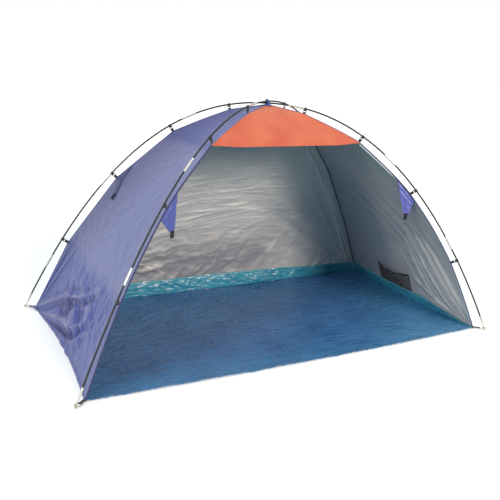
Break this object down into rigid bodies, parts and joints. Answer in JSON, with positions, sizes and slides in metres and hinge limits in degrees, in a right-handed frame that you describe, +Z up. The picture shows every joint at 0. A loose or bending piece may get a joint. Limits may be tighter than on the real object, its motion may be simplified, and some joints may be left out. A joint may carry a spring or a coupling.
{
  "type": "fishing tent",
  "caption": "Open-fronted shelter of coated cloth clipped under crossed bent poles, with a sewn-in groundsheet, an eave and net pockets.",
  "frame": {"origin": "on the ground under the crossing of the poles, the middle of the footprint", "axes": "+X to the right of someone looking in at the open front, +Y to the back wall, +Z up"},
  "size_m": [2.2954, 1.2142, 1.2117],
  "materials": {
    "fibreglass": "ground fibreglass rod, pale steel ferrule bonded on",
    "steel": "zinc plated",
    "elastic": "braided sleeve",
    "black_plastic": "moulded, black webbing sewn on",
    "black_webbing": "woven",
    "canopy": "coated taffeta, silver inside",
    "eave": "coated taffeta",
    "binding": "folded tape",
    "groundsheet": "laminated woven tape",
    "upstand": "laminated woven tape",
    "net": "knitted net",
    "tape": "woven tape"
  },
  "bodies": {
    "tent": {"back_wall": "canopy", "corner_webbing_back_left": "black_webbing", "corner_webbing_back_right": "black_webbing", "corner_webbing_front_left": "black_webbing", "corner_webbing_front_right": "black_webbing", "crown_tie": "tape", "eave_panel": "eave", "floor_sheet": "groundsheet", "floor_upstand": "upstand", "front_binding_left": "binding", "front_binding_right": "binding", "left_wall": "canopy", "mesh_pocket_left": "net", "mesh_pocket_right": "net", "pole_a_section_1": "fibreglass", "pole_a_section_2": "fibreglass", "pole_a_section_3": "fibreglass", "pole_a_section_4": "fibreglass", "pole_a_section_5": "fibreglass", "pole_a_section_6": "fibreglass", "pole_a_section_7": "fibreglass", "pole_a_shock_cord": "elastic", "pole_b_section_1": "fibreglass", "pole_b_section_2": "fibreglass", "pole_b_section_3": "fibreglass", "pole_b_section_4": "fibreglass", "pole_b_section_5": "fibreglass", "pole_b_section_6": "fibreglass", "pole_b_section_7": "fibreglass", "pole_b_shock_cord": "elastic", "pole_clip_back_left_1": "black_plastic", "pole_clip_back_left_2": "black_plastic", "pole_clip_back_left_3": "black_plastic", "pole_clip_back_left_4": "black_plastic", "pole_clip_back_right_1": "black_plastic", "pole_clip_back_right_2": "black_plastic", "pole_clip_back_right_3": "black_plastic", "pole_clip_back_right_4": "black_plastic", "pole_clip_front_left_1": "black_plastic", "pole_clip_front_left_2": "black_plastic", "pole_clip_front_left_3": "black_plastic", "pole_clip_front_left_4": "black_plastic", "pole_clip_front_right_1": "black_plastic", "pole_clip_front_right_2": "black_plastic", "pole_clip_front_right_3": "black_plastic", "pole_clip_front_right_4": "black_plastic", "right_wall": "canopy"},
    "pin_front_left": {"corner_pin_front_left": "steel"},
    "ring_front_left": {"corner_ring_front_left": "steel"},
    "tab_front_left": {"guy_tab_front_left": "canopy"},
    "pin_front_right": {"corner_pin_front_right": "steel"},
    "ring_front_right": {"corner_ring_front_right": "steel"},
    "tab_front_right": {"guy_tab_front_right": "canopy"},
    "pin_back_left": {"corner_pin_back_left": "steel"},
    "ring_back_left": {"corner_ring_back_left": "steel"},
    "tab_back_left": {"guy_tab_back_left": "canopy"},
    "pin_back_right": {"corner_pin_back_right": "steel"},
    "ring_back_right": {"corner_ring_back_right": "steel"},
    "tab_back_right": {"guy_tab_back_right": "canopy"}
  },
  "joints": [
    {"name": "corner_pin_front_left_swivel", "type": "hinge", "parent": "tent", "child": "pin_front_left", "pos_m": [-1.14, -0.6, 0.0099], "axis": [0.4122, 0.1678, 0.8955], "range_deg": [-12, 12]},
    {"name": "corner_ring_front_left_spin", "type": "hinge", "parent": "tent", "child": "ring_front_left", "pos_m": [-1.12885, -0.58996, 0.0099], "axis": [0, 0, 1], "continuous": true},
    {"name": "guy_tab_front_left_swing", "type": "hinge", "parent": "tent", "child": "tab_front_left", "pos_m": [-0.64629, -0.37289, 0.77351], "axis": [0.6286, 0.325, 0.7066], "range_deg": [-30, 60]},
    {"name": "corner_pin_front_right_swivel", "type": "hinge", "parent": "tent", "child": "pin_front_right", "pos_m": [1.14, -0.6, 0.0099], "axis": [-0.4147, 0.1688, 0.8942], "range_deg": [-12, 12]},
    {"name": "corner_ring_front_right_spin", "type": "hinge", "parent": "tent", "child": "ring_front_right", "pos_m": [1.12885, -0.58996, 0.0099], "axis": [0, 0, 1], "continuous": true},
    {"name": "guy_tab_front_right_swing", "type": "hinge", "parent": "tent", "child": "tab_front_right", "pos_m": [0.64629, -0.37289, 0.77351], "axis": [0.6286, -0.325, -0.7066], "range_deg": [-30, 60]},
    {"name": "corner_pin_back_left_swivel", "type": "hinge", "parent": "tent", "child": "pin_back_left", "pos_m": [-1.14, 0.6, 0.0099], "axis": [0.4147, -0.1688, 0.8942], "range_deg": [-12, 12]},
    {"name": "corner_ring_back_left_spin", "type": "hinge", "parent": "tent", "child": "ring_back_left", "pos_m": [-1.12885, 0.58996, 0.0099], "axis": [0, 0, 1], "continuous": true},
    {"name": "guy_tab_back_left_swing", "type": "hinge", "parent": "tent", "child": "tab_back_left", "pos_m": [-0.63333, 0.36557, 0.79991], "axis": [-0.6646, 0.3538, -0.6582], "range_deg": [0, 90]},
    {"name": "corner_pin_back_right_swivel", "type": "hinge", "parent": "tent", "child": "pin_back_right", "pos_m": [1.14, 0.6, 0.0099], "axis": [-0.4122, -0.1678, 0.8955], "range_deg": [-12, 12]},
    {"name": "corner_ring_back_right_spin", "type": "hinge", "parent": "tent", "child": "ring_back_right", "pos_m": [1.12885, 0.58996, 0.0099], "axis": [0, 0, 1], "continuous": true},
    {"name": "guy_tab_back_right_swing", "type": "hinge", "parent": "tent", "child": "tab_back_right", "pos_m": [0.63333, 0.36557, 0.79991], "axis": [-0.6646, -0.3538, 0.6582], "range_deg": [0, 90]}
  ]
}
